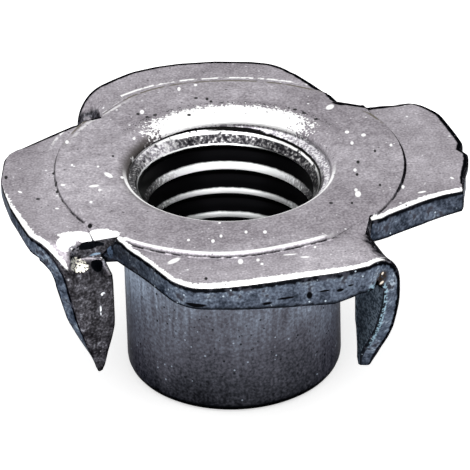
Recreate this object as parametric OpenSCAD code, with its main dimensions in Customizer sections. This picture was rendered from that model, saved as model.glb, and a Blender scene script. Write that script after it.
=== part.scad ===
// Pronged tee nut for wood, metric coarse thread.
//
// One piece of steel strip: a tube is drawn down out of the middle of the sheet and threaded, the
// ring around it is coined up a little, and four corners are sheared free along one side and
// bent down as prongs. The lobes left between them turn the flange into a pinwheel.
//
// Z is the thread axis and points out of the flange face. The origin is on the axis, in the
// plane of the tube's open end, on which the nut stands.

/* [Flange] */
// Diameter over the lobes
flange_d = 24.2; // [22:0.1:30]
// Height from the tube's open end to the raised face around the hole
nut_h = 12.05; // [10:0.05:16]
// Thickness of the sheet in the lobes
sheet_t = 1.3; // [1:0.05:1.5]
// Diameter of the raised face
face_d = 18.8; // [15:0.1:20]
// Height of the raised face over the lobes
face_rise = 0.22; // [0.1:0.01:0.5]
// Width of the sloping step around the raised face
step_w = 0.06; // [0.02:0.02:0.4]
// Rounding of each lobe's sheared corner
corner_r = 0.9; // [0.3:0.1:1.2]

/* [Prongs] */
// Number of prongs
prong_count = 4; // [3:1:4]
// Direction of the first prong's bend line, in degrees from +X
prong_turn = 34.7; // [0:0.1:60]
// Distance from the flange's circle in to the line along which each prong is sheared free
shear_in = 3.15; // [2.7:0.05:3.5]
// Gap that the shears leave beside each prong
shear_gap = 0.08; // [0.04:0.02:0.3]
// Width of a prong where it leaves the lobe
root_w = 3.55; // [3.2:0.05:4.5]
// Length of the straight edge that leads to each bend
ear_run = 4; // [3:0.1:5]
// Loss of width along that edge, for each millimetre
ear_slope = 0.325; // [0.2:0.005:0.4]
// Distance from the bend line to the radius that runs parallel to it
bend_start = 0.1; // [0:0.1:1]
// Outside radius of the bend
bend_r = 2.15; // [1.9:0.05:2.6]
// How much thinner than the sheet the bending leaves the prong
thinning = 0.25; // [0.05:0.05:0.3]
// Depth of the prong's point below the lobes' top
prong_drop = 8; // [6.6:0.1:9]
// Loss of width over the bend
shoulder = 0.73; // [0.3:0.01:1]
// Length over which the bend narrows, seen from above
shoulder_run = 1.88; // [1.2:0.02:1.9]
// Depth at which the outer edge starts to curve in to the point
belly_start = 1.4; // [1:0.1:2.5]
// Depth at which the inner edge starts to slope out to the point
inner_start = 5; // [3:0.1:6]
// Width of the blunt point
tip_w = 0.35; // [0.2:0.05:0.6]
// Distance from the prong's inner edge out to the far corner of the point
tip_out = 0.85; // [0.7:0.05:1.4]
// Length over which the point is curled towards the lobe
curl_l = 2.5; // [1:0.1:2.6]
// Radius of that curl
curl_r = 5; // [5:0.5:12]

/* [Tube] */
// Outside diameter of the tube
tube_d = 11.6; // [11.4:0.1:12.4]
// Rounding of the tube's outer end edge
end_r = 0.85; // [0.2:0.05:0.9]
// Width of the flat ring that the rounding and the lead-in leave on the tube's end
end_flat = 0.3; // [0.1:0.05:0.3]
// Fillet between the tube and the flange
root_fillet = 0.7; // [0.3:0.1:1.2]

/* [Threaded hole] */
// Nominal diameter of the thread
thread_d = 10; // [9:0.1:10]
// Pitch of the thread
thread_pitch = 1.5; // [1.25:0.05:1.75]
// Radius of the rounded lip around the mouth of the hole
lip_r = 1.3; // [0.8:0.1:1.6]
// Depth at which the lip ends and the funnel starts
lip_depth = 0.67; // [0.4:0.05:0.75]
// Distance from the lip's inner edge to the thread's major radius
throat_gap = 0.3; // [0.1:0.05:0.6]

/* [Parting edge] */
// How far the lobe that was parted from the strip stands out of the flange's circle
part_proud = 0.5; // [0.2:0.05:0.8]
// How far the stub of the strip stands out of that lobe
stub_proud = 0.1; // [0.05:0.05:0.3]
// Width of the stub
stub_w = 2.5; // [1.5:0.1:3.5]
// Thickness of the stub, which is torn off below the lobe's top
stub_t = 0.45; // [0.2:0.05:0.8]
// Diameter of the nick beside it
nick_d = 0.4; // [0.2:0.05:0.6]

/* [Hidden] */
$fn = 96;
steel = [0.62, 0.61, 0.63];
past = 1;                                   // how far a cutter runs past what it cuts
lap = sheet_t / 2;                          // how far joined parts run into each other

flange_r = flange_d / 2;
face_r = face_d / 2;
top_z = nut_h - face_rise;                  // top of the lobes
seat_z = top_z - sheet_t;                   // underside of the flange, which seats on the wood

// A prong is drawn with X across its width (the distance from the axis), Y the way its bend
// turns and Z up, from the top of the lobes. Then it is turned into place.
shear_dist = flange_r - shear_in;
prong_in = shear_dist + shear_gap;
prong_out = prong_in + root_w;
shoulder_x = prong_out - shoulder;
leg_y = bend_start + bend_r;                // outer face of the hanging leg
prong_t = sheet_t - thinning;
tip_x = prong_in + tip_out;
curl_z = prong_drop - curl_l;               // where the curl towards the lobe starts

// The curved outer edge leaves the shoulder straight down and ends in the point.
belly_h = prong_drop - belly_start;
belly_w = shoulder_x - tip_x;
belly_r = (pow(belly_h, 2) + pow(belly_w, 2)) / (2 * belly_w);

// The rounding of a sheared corner touches the shear line and the flange's circle.
corner_x = shear_dist - corner_r;
corner_y = sqrt(pow(flange_r - corner_r, 2) - pow(corner_x, 2));
corner_out = (flange_r + past) / (flange_r - corner_r);     // scales it out past that circle

// The lobe that points along +X is the one that was parted from the strip.
part_r = flange_r + part_proud;
stub_x = part_r + stub_proud;

tube_r = tube_d / 2;
thread_r = thread_d / 2;
bore_r = (thread_d - thread_pitch) / 2;     // tapping size, which the thread's crests stand at
throat_r = thread_r + throat_gap;
throat_z = nut_h - lip_depth;
mouth_r = throat_r + sqrt(pow(lip_r, 2) - pow(lip_r - lip_depth, 2));
bore_top_z = throat_z - (throat_r - bore_r);    // the funnel's wall slopes at 45 degrees
lead_r = tube_r - end_r - end_flat;

module ring_of_prongs() {
    for (i = [0 : prong_count - 1]) rotate(prong_turn + i * 360 / prong_count) children();
}

// --- flange -------------------------------------------------------------------------------

// Straight-edged ear that widens each lobe up to its bend line.
module ear() {
    polygon([
        [corner_x, bend_start - ear_run],
        [prong_out - ear_slope * ear_run, bend_start - ear_run],
        [prong_out, bend_start],
        [corner_x, bend_start]
    ]);
}

// What the shears and the bending take out of the sheet beside one prong.
module sheared_off() {
    translate([shear_dist, bend_start]) square([flange_r, flange_r + past]);
    // the sharp corner of the next lobe, down to its rounding
    difference() {
        polygon([
            [corner_x, corner_y],
            [shear_dist + past, corner_y],
            [shear_dist + past, corner_y * corner_out],
            [corner_x * corner_out, corner_y * corner_out]
        ]);
        translate([corner_x, corner_y]) circle(r = corner_r);
    }
}

// The lobe parted from the strip is a little longer, with a nick beside the stub that it ends in.
module parted_lobe() {
    difference() {
        intersection() {
            circle(r = part_r);
            rotate(prong_turn) translate([corner_x, -flange_r])
                square([prong_out - corner_x, flange_r + bend_start]);
        }
        translate([part_r, (stub_w + nick_d) / 2]) circle(d = nick_d);
    }
}

module pinwheel_outline() {
    difference() {
        union() {
            circle(r = flange_r);
            ring_of_prongs() ear();
            parted_lobe();
        }
        ring_of_prongs() sheared_off();
    }
}

module stub() {
    translate([face_r, -stub_w / 2, top_z - stub_t]) cube([stub_x - face_r, stub_w, stub_t]);
}

module raised_face() {
    difference() {
        translate([0, 0, top_z]) cylinder(r1 = face_r + step_w, r2 = face_r, h = face_rise);
        translate([0, 0, top_z]) ring_of_prongs()
            translate([shear_dist, bend_start, -past])
                cube([flange_r, flange_r, face_rise + 2 * past]);
    }
}

// --- prongs -------------------------------------------------------------------------------

// Section along the bend: the quarter turn out of the lobe, the leg and its curled point.
module prong_section() {
    difference() {
        intersection() {
            circle(r = bend_r);
            square(bend_r);
        }
        translate([sheet_t - prong_t, 0]) circle(r = bend_r - sheet_t);
        square([sheet_t - prong_t, bend_r - sheet_t]);
    }
    translate([bend_r - prong_t, bend_r - curl_z]) square([prong_t, curl_z - bend_r]);
    intersection() {
        translate([bend_r - prong_t, bend_r - prong_drop]) square([prong_t, curl_l]);
        translate([bend_r - curl_r, bend_r - curl_z]) circle(r = curl_r);
    }
}

// Face of the leg: straight inner edge, bellied outer edge, blunt point.
module leg_face() {
    intersection() {
        polygon([
            [prong_in, 0],
            [prong_in, -inner_start],
            [tip_x - tip_w, -prong_drop],
            [prong_out, -prong_drop],
            [prong_out, 0]
        ]);
        union() {
            translate([shoulder_x - belly_r, -belly_start]) circle(r = belly_r);
            translate([0, -belly_start]) square([prong_out, belly_start]);
        }
    }
}

// The bend seen from above: the strip narrows by the shoulder as it turns down.
module bend_plan() {
    polygon([
        [prong_in, bend_start],
        [prong_out, bend_start],
        [shoulder_x, bend_start + shoulder_run],
        [shoulder_x, leg_y + past],
        [prong_in, leg_y + past]
    ]);
}

module prong() {
    intersection() {
        translate([prong_in, bend_start, -bend_r]) rotate([90, 0, 90])
            linear_extrude(root_w) prong_section();
        translate([0, leg_y + past, 0]) rotate([90, 0, 0]) linear_extrude(bend_r + 2 * past) leg_face();
        translate([0, 0, -prong_drop - past]) linear_extrude(prong_drop + 2 * past) bend_plan();
    }
}

// --- tube and hole ------------------------------------------------------------------------

module tube() {
    rotate_extrude() {
        translate([0, end_r]) square([tube_r, seat_z - end_r + lap]);
        square([tube_r - end_r, seat_z]);
        translate([tube_r - end_r, end_r]) circle(r = end_r);
        // fillet under the flange
        translate([tube_r - lap, seat_z - root_fillet]) difference() {
            square(root_fillet + lap);
            translate([root_fillet + lap, 0]) circle(r = root_fillet);
        }
    }
}

// Everything that is cut out around the axis: bore, funnel with a rounded lip, lead-in.
module threaded_hole() {
    translate([0, 0, -past]) cylinder(r = bore_r, h = nut_h + 2 * past);
    rotate_extrude() difference() {
        polygon([
            [0, bore_top_z],
            [bore_r, bore_top_z],
            [throat_r, throat_z],
            [mouth_r, throat_z],
            [mouth_r, nut_h + past],
            [0, nut_h + past]
        ]);
        translate([mouth_r, nut_h - lip_r]) circle(r = lip_r);
    }
    cylinder(r1 = lead_r, r2 = bore_r, h = lead_r - bore_r);
}

module tee_nut() {
    color(steel) difference() {
        union() {
            translate([0, 0, seat_z]) linear_extrude(sheet_t) pinwheel_outline();
            stub();
            raised_face();
            translate([0, 0, top_z]) ring_of_prongs() prong();
            tube();
        }
        threaded_hole();
    }
}

tee_nut();
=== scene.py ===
import math

import bmesh
import bpy
from mathutils import Matrix, Vector


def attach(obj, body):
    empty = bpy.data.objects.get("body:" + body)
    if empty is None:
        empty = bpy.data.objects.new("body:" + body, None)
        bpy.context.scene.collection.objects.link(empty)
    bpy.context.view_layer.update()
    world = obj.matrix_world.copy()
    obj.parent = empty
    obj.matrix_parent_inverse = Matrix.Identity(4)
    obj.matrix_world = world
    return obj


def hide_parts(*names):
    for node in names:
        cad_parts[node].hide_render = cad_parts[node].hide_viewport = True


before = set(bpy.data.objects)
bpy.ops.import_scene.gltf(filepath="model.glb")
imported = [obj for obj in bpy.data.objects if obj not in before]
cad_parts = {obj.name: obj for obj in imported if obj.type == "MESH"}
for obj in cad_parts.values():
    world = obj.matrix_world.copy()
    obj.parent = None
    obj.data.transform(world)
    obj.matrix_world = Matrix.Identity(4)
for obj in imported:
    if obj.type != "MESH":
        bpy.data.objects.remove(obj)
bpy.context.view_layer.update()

# Sizes are in millimetres until the finished mesh is scaled. Z is the thread axis, z = 0 is the
# tube's open end, and heights marked "from the lobes" are measured from the lobes' top.
MM = 0.001
LOBE_TOP = 11.83
RAISED = 0.22               # height of the coined face around the hole, from the lobes
COLUMNS = 240               # columns of the spun mesh, a quarter of them in each lobe
PER_LOBE = COLUMNS // 4
PRONG_TURN = 34.7           # direction of the bend line of the lobe that points along +X
CREASE = math.radians(50)   # edges that turn more than this stay sharp
# Distances under which vertices are merged, in the thread and in the body, under which an edge is
# dropped in the end, and within which a vertex is on a cutting plane
THREAD_MERGE, BODY_MERGE, SLIVER, ON_PLANE = 1e-3, 1e-4, 3e-3, 1e-5


def straight(table, x):
    """Value at x of a table of (x, value), straight between its entries and flat past its ends."""
    if x <= table[0][0]:
        return table[0][1]
    for (x0, v0), (x1, v1) in zip(table, table[1:]):
        if x <= x1:
            return v0 + (v1 - v0) * (x - x0) / (x1 - x0)
    return table[-1][1]


# --- thread -------------------------------------------------------------------------------------

PITCH = 1.5
CREST_Z_AT_BACK = -2.53     # lower edge of one crest at the back of the hole, from the lobes
# One pitch of the tapped wall, upwards from a crest's lower edge: (height, radius)
THREAD_FORM = [
    (0.00, 4.46), (0.03, 4.43), (0.10, 4.46), (0.20, 4.51), (0.31, 4.57), (0.43, 4.64),
    (0.54, 4.70), (0.66, 4.77), (0.78, 4.85), (0.90, 4.94), (1.00, 5.00), (1.12, 5.00),
    (1.20, 4.96), (1.30, 4.81), (1.40, 4.63), (1.50, 4.46),
]
THREAD_TOP = -0.52          # where the tapped wall meets the funnel, from the lobes
FUNNEL_R = 5.05             # radius there
FUNNEL_SLOPE = 0.66         # loss of radius per millimetre of depth
LEAD_R = 4.92               # radius of the lead-in at the tube's end
LEAD_Z = 0.02               # height over that end at which the tapped wall starts
RUN_OUT = 0.2               # growth of the radius that the grooves may have, per millimetre up


def countersunk(radius, z):
    """The radius of the tapped wall once the funnel and the lead-in are cut into it."""
    up = z + LOBE_TOP
    radius = min(radius, LEAD_R - 0.02 + RUN_OUT * max(0.0, up - 0.05))
    return max(radius, FUNNEL_R + FUNNEL_SLOPE * (z - THREAD_TOP), LEAD_R - up)


def tapped_wall():
    """The thread: one pitch of its form swept up a right-hand helix, then trimmed at both ends."""
    turns = int(LOBE_TOP / PITCH) + 3
    # the spin starts at +X, a quarter turn before the back, and below the tube's end
    start = CREST_Z_AT_BACK - PITCH / 4 - PITCH * (turns - 2)
    bm = bmesh.new()
    row = [bm.verts.new((radius, 0, start + up)) for up, radius in THREAD_FORM]
    edges = [bm.edges.new(pair) for pair in zip(row, row[1:])]
    bmesh.ops.spin(
        bm, geom=row + edges, cent=(0, 0, 0), axis=(0, 0, 1), dvec=(0, 0, PITCH / COLUMNS),
        angle=2 * math.pi, steps=COLUMNS, use_merge=False, use_duplicate=False,
    )
    turn = bm.verts[:] + bm.edges[:] + bm.faces[:]
    for above in range(1, turns):
        copy = bmesh.ops.duplicate(bm, geom=turn)["geom"]
        verts = [g for g in copy if isinstance(g, bmesh.types.BMVert)]
        bmesh.ops.translate(bm, vec=(0, 0, PITCH * above), verts=verts)
    bmesh.ops.remove_doubles(bm, verts=bm.verts, dist=THREAD_MERGE)
    for vert in bm.verts:
        radius = math.hypot(vert.co.x, vert.co.y)
        grown = countersunk(radius, vert.co.z) / radius
        vert.co.x *= grown
        vert.co.y *= grown
    for height, side in ((THREAD_TOP, 1), (LEAD_Z - LOBE_TOP, -1)):
        bmesh.ops.bisect_plane(
            bm, geom=bm.verts[:] + bm.edges[:] + bm.faces[:], dist=ON_PLANE,
            plane_co=(0, 0, height), plane_no=(0, 0, side), clear_outer=True,
        )
    return bm


# --- the pressed sheet --------------------------------------------------------------------------

# A lobe is laid out in the frame of its own prong: w is the distance from the axis along the bend
# line and u is the way the bend turns, so the lobe lies at negative u. The lobes are numbered
# counter-clockwise from the one that was parted from the strip, which points along +X.
SEAT_T = 1.3                # thickness of the sheet around the tube
LEG_T = 1.05                # thickness of the prongs
EDGE_R = 0.2                # worn rounding of the top edges
UNDER_R = 0.1               # rounding of the lower edges
PARTED, TORN = 0, 3         # the parted lobe, and the one with a torn lower edge

# Line along which each lobe was sheared free of the prong before it, as (w, u) of that prong
SHEARED_LINE = [
    [(9.0, 2.75), (8.95, 3.4), (8.87, 4.2), (8.87, 5.5), (8.9, 6.6), (9.05, 7.6), (9.2, 8.1)],
    [(8.95, 2.4), (9.05, 3.0), (9.15, 3.9), (9.18, 5.0), (9.15, 6.62)],
    [(8.95, 2.4), (9.1, 3.2), (9.2, 3.95), (9.13, 4.8), (9.02, 5.9), (8.9, 6.95), (8.83, 7.55)],
    [(8.95, 2.4), (8.92, 3.4), (8.87, 4.3), (8.88, 5.4), (8.94, 6.8), (8.95, 7.5)],
]
# The rounded corner that follows, and the rim up to the bend line: (azimuth, radius)
CORNER = [
    [(346.95, 12.58), (348.0, 12.62), (350.0, 12.58), (352.5, 12.55)],
    [(70.9, 11.27), (73.9, 11.65), (75.5, 11.82), (77.1, 11.95), (78.8, 12.05), (80.5, 12.09)],
    [(165.2, 11.62), (165.7, 11.75), (166.6, 11.87), (167.5, 11.98), (168.4, 12.07)],
    [(254.7, 11.67), (256.3, 11.84), (258.0, 12.0), (259.5, 12.1), (261.0, 12.17)],
]
RIM = [
    [
        (352.5, 12.55), (356.0, 12.57), (359.5, 12.7), (1.0, 12.76), (4.3, 12.84),
        (5.6, 12.7), (6.9, 12.53), (8.3, 12.66), (10.1, 12.77), (15.0, 12.71), (19.0, 12.69),
        (24.8, 12.76), (27.0, 12.72), (30.5, 12.55), (34.7, 12.35),
    ],
    [
        (80.5, 12.09), (83.7, 12.17), (88.4, 12.18), (93.0, 12.27), (102.3, 12.4), (108.4, 12.45),
        (114.6, 12.45), (117.1, 12.37), (121.0, 12.23), (124.7, 12.1),
    ],
    [
        (168.4, 12.07), (171.6, 12.2), (181.8, 12.19), (186.9, 12.09), (195.4, 12.04),
        (203.9, 12.07), (207.7, 12.16), (210.8, 12.24), (212.3, 12.23), (214.7, 12.13),
    ],
    [
        (261.0, 12.17), (263.0, 12.17), (266.6, 12.1), (270.0, 12.0), (275.6, 11.86),
        (283.0, 11.78), (288.0, 11.81), (292.5, 11.96), (297.0, 12.15), (301.0, 12.3),
        (304.7, 12.45),
    ],
]
SHEAR_COLUMNS, CORNER_COLUMNS, RIM_COLUMNS = 20, 7, 33

# Where each bend starts, and where the outer face of its leg hangs, across the prong: (w, u)
BEND_START = [
    [
        (9.2, 1.2), (9.95, 0.6), (10.3, 0.1), (10.7, -0.25), (11.3, -0.5), (11.9, -0.64),
        (12.3, -0.95), (12.6, -1.5),
    ],
    [(9.2, 1.2), (10.0, 0.6), (11.0, 0.1), (12.0, -0.05)],
    [(9.2, 1.2), (10.0, 0.6), (11.3, 0.1), (12.0, -0.4), (12.3, -0.6)],
    [(9.2, 1.45), (9.7, 1.1), (10.4, 0.65), (11.0, 0.3), (11.5, 0.15), (12.0, 0.15), (12.45, 0.25)],
]
LEG_U = [
    [(9.2, 2.3), (12.3, 1.75)],
    [(9.2, 2.3), (12.0, 1.95)],
    [(9.2, 2.45), (9.8, 2.38), (11.7, 2.05)],
    [(9.2, 2.46), (12.2, 2.44)],
]
# Inner and outer edge of each prong's outer face, along its length from the bend line
PRONG_IN = [
    (0.0, 9.3), (1.5, 9.17), (5.4, 9.15), (5.8, 9.2), (6.2, 9.28), (6.6, 9.38), (7.0, 9.46),
    (7.4, 9.53), (8.1, 9.62), (8.3, 9.7),
]
PRONG_OUT = [
    [
        (0.0, 12.35), (0.6, 12.3), (1.5, 12.05), (2.6, 11.8), (3.4, 11.68), (4.2, 11.55),
        (5.0, 11.34), (5.8, 11.1), (6.6, 10.8), (7.3, 10.45), (8.1, 10.1), (8.3, 9.98),
    ],
    [
        (0.0, 12.1), (0.9, 12.0), (1.5, 11.92), (2.6, 11.75), (3.4, 11.65), (4.2, 11.5),
        (5.0, 11.3), (5.8, 11.05), (6.6, 10.77), (7.3, 10.42), (8.1, 10.1), (8.3, 9.98),
    ],
    [
        (0.0, 12.13), (0.9, 12.0), (1.64, 11.85), (2.6, 11.65), (3.4, 11.5), (4.2, 11.36),
        (5.0, 11.18), (5.8, 10.94), (6.6, 10.7), (7.3, 10.38), (7.7, 10.22), (8.1, 10.1),
        (8.3, 9.98),
    ],
    [
        (0.0, 12.45), (0.7, 12.32), (1.5, 12.13), (2.6, 11.94), (3.4, 11.93), (3.8, 11.88),
        (4.2, 11.79), (5.0, 11.55), (5.8, 11.27), (6.5, 10.96), (7.3, 10.55), (7.7, 10.34),
        (8.1, 10.08), (8.3, 9.98),
    ],
]
# How far the sheared edges lean, from the outer face of a prong to its inner one
LEAN_IN = [(5.4, 0.0), (6.2, -0.13), (7.0, -0.26), (8.1, -0.28), (8.3, -0.2)]
LEAN_EVEN = [
    (0.0, 0.0), (2.6, 0.2), (4.2, 0.1), (5.4, -0.05), (7.3, -0.35), (8.1, -0.4), (8.3, -0.25),
]
LEAN_OUT = [
    LEAN_EVEN,
    LEAN_EVEN,
    [
        (0.0, 0.0), (1.4, 0.1), (2.6, 0.3), (3.4, 0.25), (4.2, 0.2), (5.0, 0.18), (5.8, 0.05),
        (6.6, -0.08), (8.3, -0.25),
    ],
    [
        (2.6, 0.0), (3.4, 0.0), (4.2, -0.12), (5.4, -0.2), (6.2, -0.36), (7.3, -0.6), (7.7, -0.62),
        (8.3, -0.3),
    ],
]
PRONG_T = [(0.0, 1.3), (2.4, 1.05), (5.8, 1.05), (8.3, 0.5)]
# The same along the outer edge of the torn lobe's prong, which the press left fuller
FULL_T = [(0.0, 1.72), (0.5, 1.7), (2.1, 1.35), (2.8, 1.18), (5.8, 1.15), (8.3, 0.5)]
PRONG_CURL = [(5.6, 0.0), (6.5, 0.12), (7.4, 0.34), (8.0, 0.52), (8.3, 0.62)]
PRONG_BLUNT = [(7.3, 1.0), (8.3, 0.35)]     # how much of the edges' rounding is left at the point
PRONG_LONG = 8.3
DROP = 8.0                  # depth of the points, from the lobes
SLIT_W = 9.2                # w at which the slits beside the bends end
BEND_W = 9.26               # w at which the line that a prong is drawn out from starts

# The punch's nose left a pocket in the bend beside each slit: a steep wall, a ledge and a lip
POCKET_WALL = [(9.2, 1.62), (9.6, 1.42), (10.3, 1.3), (11.5, 1.22)]     # u of the wall, by w
POCKET_FLOOR = [(9.3, -1.3), (10.3, -1.12)]     # height of the ledge, by w
POCKET_ROLL = [(9.5, 0.25), (10.3, 0.0)]        # how far its lip is rolled over, by w
POCKET_DEEP = [(10.85, 1.0), (11.45, 0.0)]      # how much of the pocket there is, by w
POCKET_SHARP = [0.5, 0.5, 1.0, 0.0]             # and by lobe
POCKET_START, POCKET_END = 0.25, -2.5           # u and height past which the strip is plain

# Stations across the sheet, from the hole outwards over the rim and back underneath: radii of the
# raised face, (distance, height) across its step, shares of the way to the rim, degrees around
# the top edge, shares of the way down the sheared edge, and degrees around the lower edge
FACE = [6.6, 7.4, 8.1, 8.6]
STEP = [(-0.13, RAISED), (-0.07, 0.21), (-0.02, 0.16), (0.02, 0.07), (0.06, 0.015), (0.12, 0.0)]
LAND = [0.14, 0.28, 0.42, 0.56, 0.7, 0.85, 0.985]
RIM_TURN = [0, 25, 50, 75, 90]
RIM_WALL = [0.3, 0.55, 0.8]
UNDER_TURN = [0, 45, 90]
# Underneath, two lie beside the edge: (inset, share of the burr left). The rest are farther in:
# (radius, share of the turn to the edge's own azimuth, share of the seat's thickness).
UNDER_EDGE = [(0.04, 1.0), (0.25, 0.2)]
UNDER_SEAT = [(BEND_W, 1.0, 0.65), (8.2, 0.7, 1.0), (7.4, 0.35, 1.0)]
UNDER_INSET = 0.4           # least distance of those from the edge
EDGE_RAISE = 0.6            # how much of the step's height a rim that cuts across it keeps

# Radius of the step, how far its middle is off the axis, and its bumps: (azimuth, width, size)
RING_R, RING_OFF = 9.41, (-0.04, 0.17)
RING_BUMPS = [(112, 14, 0.19), (289, 14, -0.17), (183, 25, -0.17)]


def ring_r(azimuth):
    """Radius of the coined face's step, which the press left a little out of true."""
    a = math.radians(azimuth)
    r = RING_R + RING_OFF[0] * math.cos(a) + RING_OFF[1] * math.sin(a)
    for at, width, size in RING_BUMPS:
        off = (azimuth - at + 180) % 360 - 180
        r += size * math.exp(-((off / width) ** 2))
    return r


def polar(azimuth, radius):
    """A point of the nut's frame from its azimuth in degrees and its radius."""
    a = math.radians(azimuth)
    return Vector((radius * math.cos(a), radius * math.sin(a)))


def turned(lobe, w, u):
    """A point of the lobe's frame in the nut's."""
    a = math.radians(PRONG_TURN + 90 * lobe)
    return Vector((w * math.cos(a) - u * math.sin(a), w * math.sin(a) + u * math.cos(a)))


def in_lobe(lobe, p):
    """(w, u) of a point in the lobe's frame."""
    a = math.radians(PRONG_TURN + 90 * lobe)
    return p.x * math.cos(a) + p.y * math.sin(a), p.y * math.cos(a) - p.x * math.sin(a)


def run(points, count):
    """count points evenly spaced along a chain of points, its end left out."""
    lengths = [(q - p).length for p, q in zip(points, points[1:])]
    spaced = []
    for i in range(count):
        left = sum(lengths) * i / count
        for p, q, length in zip(points, points[1:], lengths):
            if left <= length:
                spaced.append(p.lerp(q, left / length))
                break
            left -= length
    return spaced


def outline(lobe):
    """The lobe's edge seen from above, counter-clockwise from the slit before it to its bend."""
    line = [turned(lobe - 1, w, u) for w, u in SHEARED_LINE[lobe]]
    corner = [polar(*p) for p in CORNER[lobe]]
    rim = [polar(*p) for p in RIM[lobe]]
    edge = run(line + corner[:1], SHEAR_COLUMNS) + run(corner, CORNER_COLUMNS)
    return edge + run(rim, RIM_COLUMNS - 1) + rim[-1:]


EASED = 4                   # columns over which the normals turn to w before the bend line


def outward(lobe, edge):
    """Normals of the edge, longer where it turns a corner, so that what is inset stays parallel.

    At both ends they run along w, so that the slit stays true.
    """
    along = [(q - p).normalized() for p, q in zip(edge, edge[1:])]
    normals = [turned(lobe - 1, 1, 0)]
    for before, after in zip(along, along[1:]):
        mean = (before + after).normalized()
        normals.append(Vector((mean.y, -mean.x)) / mean.dot(before))
    normals.append(turned(lobe, 1, 0))
    for back in range(1, EASED):
        near = turned(lobe, 1, 0).lerp(normals[-1 - back], back / EASED)
        normals[-1 - back] = near.normalized()
    return normals


# Thickness of the sheet at the edge, by column of each lobe
EDGE_T = [
    [(0, 1.36), (4, 1.52), (12, 1.55), (17, 1.46), (20, 1.36), (27, 1.3), (59, 1.3)],
    [(0, 1.2), (59, 1.3)],
    [(0, 1.25), (27, 1.15), (33, 1.0), (50, 1.0), (59, 1.15)],
    [(0, 1.35), (20, 1.37), (30, 1.4), (40, 1.45), (50, 1.58), (55, 1.68), (59, 1.72)],
]
# Width of the band along the top edge that is painted white as a highlight, by column. Where it is
# negative, a band of that width is painted dark as shade instead.
PAINTED_EDGE_BANDS = [
    [(0, 0.2), (10, 0.28), (18, 0.26), (21, 0.2), (24, -0.2), (36, -0.3), (44, -0.32), (59, -0.34)],
    [(0, -0.36), (59, -0.34)],
    [
        (0, -0.34), (16, -0.3), (22, -0.16), (38, -0.05), (39, 0.05), (46, 0.2), (52, 0.26),
        (59, 0.3),
    ],
    [(0, 0.16), (20, 0.2), (25, 0.36), (38, 0.46), (50, 0.36), (59, 0.22)],
]
# Depth of the burr that hangs below the torn edge, by column
BURR = [(27, 0.0), (31, 0.02), (38, 0.2), (45, 0.32), (52, 0.38), (56, 0.1), (57, 0.0)]
# How far the parted lobe's edge is torn back below its stub, by column
TORN_BACK = [(30, 0.0), (33, 0.2), (36, 0.28), (38, 0.1), (39, 0.0)]


def sheet_stations():
    """The labels of the stations across the sheet, from the funnel over the rim to the fillet."""
    kinds = (
        ("face", FACE), ("step", STEP), ("land", LAND), ("turn", RIM_TURN), ("wall", RIM_WALL),
        ("under_turn", UNDER_TURN), ("under", UNDER_EDGE + UNDER_SEAT),
    )
    return [(kind, i) for kind, stations in kinds for i in range(len(stations))]


def sheet_point(lobe, column, kind, i, point, normal, spun_angle):
    """Where one station of one column lies on the flat sheet: (x, y, z from the lobes)."""
    rim_start = point - normal * EDGE_R
    angle = math.atan2(rim_start.y, rim_start.x)
    bend_line = column == PER_LOBE - 1
    thick = straight(EDGE_T[lobe], column)
    step_r = ring_r(math.degrees(angle))

    def raised(r):
        return straight([(step_r + d, z) for d, z in STEP], r)

    def at(radius, share=None):
        """On the column's azimuth, or a share of the turn to it from where it was spun."""
        off = (angle - spun_angle + math.pi) % (2 * math.pi) - math.pi
        turn = angle if share is None else spun_angle + off * share
        return Vector((radius * math.cos(turn), radius * math.sin(turn)))

    edge_raise = raised(rim_start.length) * (1 if bend_line else EDGE_RAISE)
    if kind == "face":
        return *at(FACE[i], i / (len(FACE) - 1)), RAISED
    if kind == "step":
        radius = step_r + STEP[i][0]
        if bend_line:
            radius = max(radius, BEND_W + 0.02 * i)
        if radius >= rim_start.length:
            return *rim_start, edge_raise
        return *at(radius), raised(radius)
    if kind == "land":
        inner = at(min(step_r + STEP[-1][0], rim_start.length))
        p = inner.lerp(rim_start, LAND[i])
        z = raised(p.length)
        return *p, min(z, edge_raise) if inner == rim_start else z
    if kind == "turn":
        a = math.radians(RIM_TURN[i])
        return *(rim_start + normal * EDGE_R * math.sin(a)), edge_raise - EDGE_R * (1 - math.cos(a))
    burr = straight(BURR, column) if lobe == TORN else 0
    back = normal * (straight(TORN_BACK, column) if lobe == PARTED else 0)
    top, low = edge_raise - EDGE_R, -thick - burr + UNDER_R
    if kind == "wall":
        return *(point - back * (0, 1, 1)[i]), top + (low - top) * RIM_WALL[i]
    if kind == "under_turn":
        a = math.radians(UNDER_TURN[i])
        p = point - back - normal * UNDER_R * (1 - math.cos(a))
        return *p, low - UNDER_R * math.sin(a)
    if i < len(UNDER_EDGE):
        inset, left = UNDER_EDGE[i]
        return *(point - back - normal * (UNDER_R + inset)), -thick - burr * left
    radius, share, seat = UNDER_SEAT[i - len(UNDER_EDGE)]
    radius = min(radius, (point - back - normal * (UNDER_R + UNDER_INSET)).length)
    return *at(radius, share), -thick * (1 - seat) - SEAT_T * seat


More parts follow.
